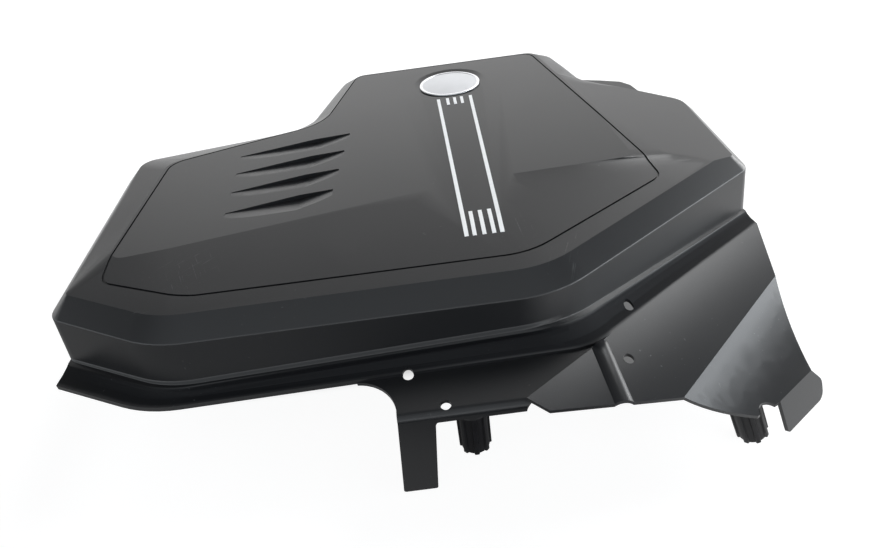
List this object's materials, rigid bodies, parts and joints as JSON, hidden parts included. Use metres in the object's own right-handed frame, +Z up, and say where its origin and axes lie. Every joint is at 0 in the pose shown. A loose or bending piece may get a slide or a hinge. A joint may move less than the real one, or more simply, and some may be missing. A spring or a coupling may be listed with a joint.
{
  "type": "engine cover",
  "caption": "Moulded black engine cover: bevelled dome with gill louvres, round badge and silver stripes, a skirt with leg, wing and flare, and rubber stud sockets.",
  "frame": {"origin": "mouth of the near rear stud socket, on its axis", "axes": "+X towards the front of the car, +Y away from the long skirt, +Z up"},
  "size_m": [0.57, 0.4975, 0.1568],
  "materials": {
    "shell_plastic": "fine grained satin",
    "badge_metal": "satin",
    "stripe_silver": "silver satin",
    "socket_rubber": "matte"
  },
  "bodies": {
    "root": {"cover_shell": "shell_plastic", "round_badge": "badge_metal", "stripe_left": "stripe_silver", "stripe_right": "stripe_silver", "dash_near_1": "stripe_silver", "dash_near_2": "stripe_silver", "dash_near_3": "stripe_silver", "dash_far_1": "stripe_silver", "dash_far_2": "stripe_silver", "dash_far_3": "stripe_silver", "grommet_near_rear": "socket_rubber", "grommet_near_front": "socket_rubber", "grommet_far_rear": "socket_rubber", "grommet_far_front": "socket_rubber"}
  },
  "joints": []
}
